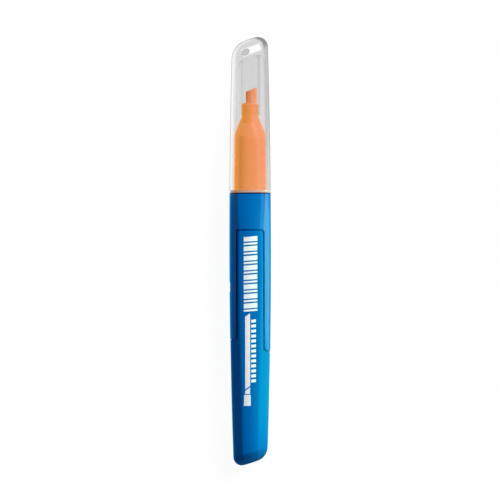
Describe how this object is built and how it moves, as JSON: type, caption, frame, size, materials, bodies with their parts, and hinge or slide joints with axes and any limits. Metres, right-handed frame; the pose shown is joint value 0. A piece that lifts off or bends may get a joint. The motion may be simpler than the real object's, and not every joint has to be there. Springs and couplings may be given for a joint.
{
  "type": "highlighter",
  "caption": "Slim highlighter with slanted ends: blue faceted barrel with a grip sleeve, orange nib holder, chisel nib and a clear pull-off cap.",
  "frame": {"origin": "middle of the flat back face that the pen rests on", "axes": "+Y along the pen towards the cap's closed end, +Z out of the front face, +X across the pen"},
  "size_m": [0.0136, 0.1399, 0.0113],
  "materials": {
    "barrel_blue": "satin moulded blue plastic",
    "sleeve_blue": "satin moulded blue plastic",
    "section_orange": "translucent orange plastic",
    "nib_fibre": "bonded fibre soaked with orange ink",
    "core_fibre": "fibre bundle soaked with orange ink",
    "film": "thin wrapping film",
    "breather": "natural plastic tube",
    "cap_clear": "clear polished plastic",
    "seal_clear": "clear plastic",
    "print_white": "pad-printed white ink"
  },
  "bodies": {
    "pen": {"barrel": "barrel_blue", "grip_sleeve": "sleeve_blue", "front_section": "section_orange", "nib": "nib_fibre", "ink_core": "core_fibre", "reservoir_film": "film", "breather_tube": "breather"},
    "cap": {"cap_shell": "cap_clear", "cap_seal": "seal_clear"}
  },
  "joints": [
    {"name": "cap_pull", "type": "slide", "parent": "pen", "child": "cap", "axis": [0, 1, 0], "range_m": [0, 0.06]}
  ]
}
